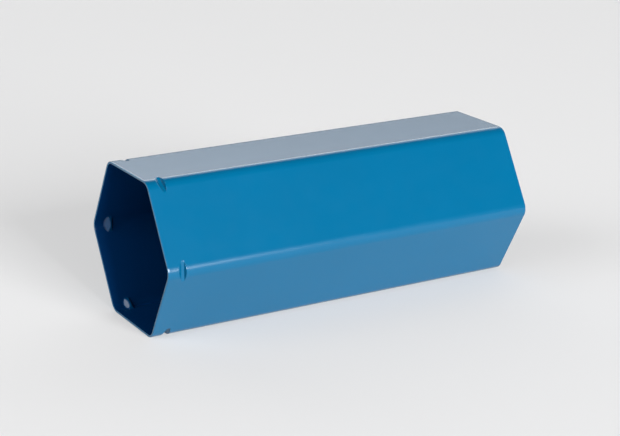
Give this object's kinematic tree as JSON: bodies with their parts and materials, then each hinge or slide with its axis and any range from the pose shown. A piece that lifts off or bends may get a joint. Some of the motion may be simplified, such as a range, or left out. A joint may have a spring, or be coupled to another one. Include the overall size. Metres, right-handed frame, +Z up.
{
  "type": "rock tumbler barrel",
  "caption": "Hexagonal sheet-metal barrel for tumbling rocks, open at one end, with corner stops at its mouth and a clamped plug with a folding bail at the other.",
  "frame": {"origin": "middle of the underside of the bounding box, on the surface that the barrel lies on", "axes": "+X along the barrel from its open mouth to the plugged end, +Z up, flats at the top and bottom"},
  "size_m": [0.393, 0.1692, 0.15],
  "materials": {
    "blue_paint": "semi-gloss blue paint",
    "zinc_plate": "bright zinc plating",
    "plain_steel": "plain stainless steel",
    "black_rubber": "matt moulded rubber",
    "grip_plastic": "matt extruded plastic"
  },
  "bodies": {
    "barrel": {"barrel_shell": "blue_paint", "seat_bar_top": "blue_paint", "seat_bar_upper_rear": "blue_paint", "seat_bar_lower_rear": "blue_paint", "seat_bar_bottom": "blue_paint", "seat_bar_lower_front": "blue_paint", "seat_bar_upper_front": "blue_paint"},
    "plug": {"pressure_plate": "plain_steel", "gasket": "black_rubber", "clamp_bolt": "zinc_plate", "bolt_seal": "black_rubber", "retaining_clip": "plain_steel"},
    "cover": {"cover_pan": "blue_paint", "cover_boss": "blue_paint", "flat_washer": "zinc_plate", "spring_washer": "plain_steel", "bracket_rear": "zinc_plate", "bracket_front": "zinc_plate", "bracket_rivets": "plain_steel"},
    "nut": {"wing_nut": "zinc_plate"},
    "bail": {"bail_wire": "zinc_plate", "bail_grip": "grip_plastic", "bail_retainers": "plain_steel"}
  },
  "joints": [
    {"name": "plug_withdraw", "type": "slide", "parent": "barrel", "child": "plug", "axis": [1, 0, 0], "range_m": [0, 0.055]},
    {"name": "cover_release", "type": "slide", "parent": "plug", "child": "cover", "axis": [1, 0, 0], "range_m": [0, 0.003]},
    {"name": "wing_nut_spin", "type": "hinge", "parent": "cover", "child": "nut", "pos_m": [0.1787, 0, 0.075], "axis": [1, 0, 0], "range_deg": [0, 720]},
    {"name": "bail_fold", "type": "hinge", "parent": "cover", "child": "bail", "pos_m": [0.1815, 0, 0.097], "axis": [0, -1, 0], "range_deg": [0, 90]}
  ],
  "couplings": [
    {"joint": "wing_nut_spin", "follows": "cover_release", "rad_per_m": 4188.8}
  ]
}
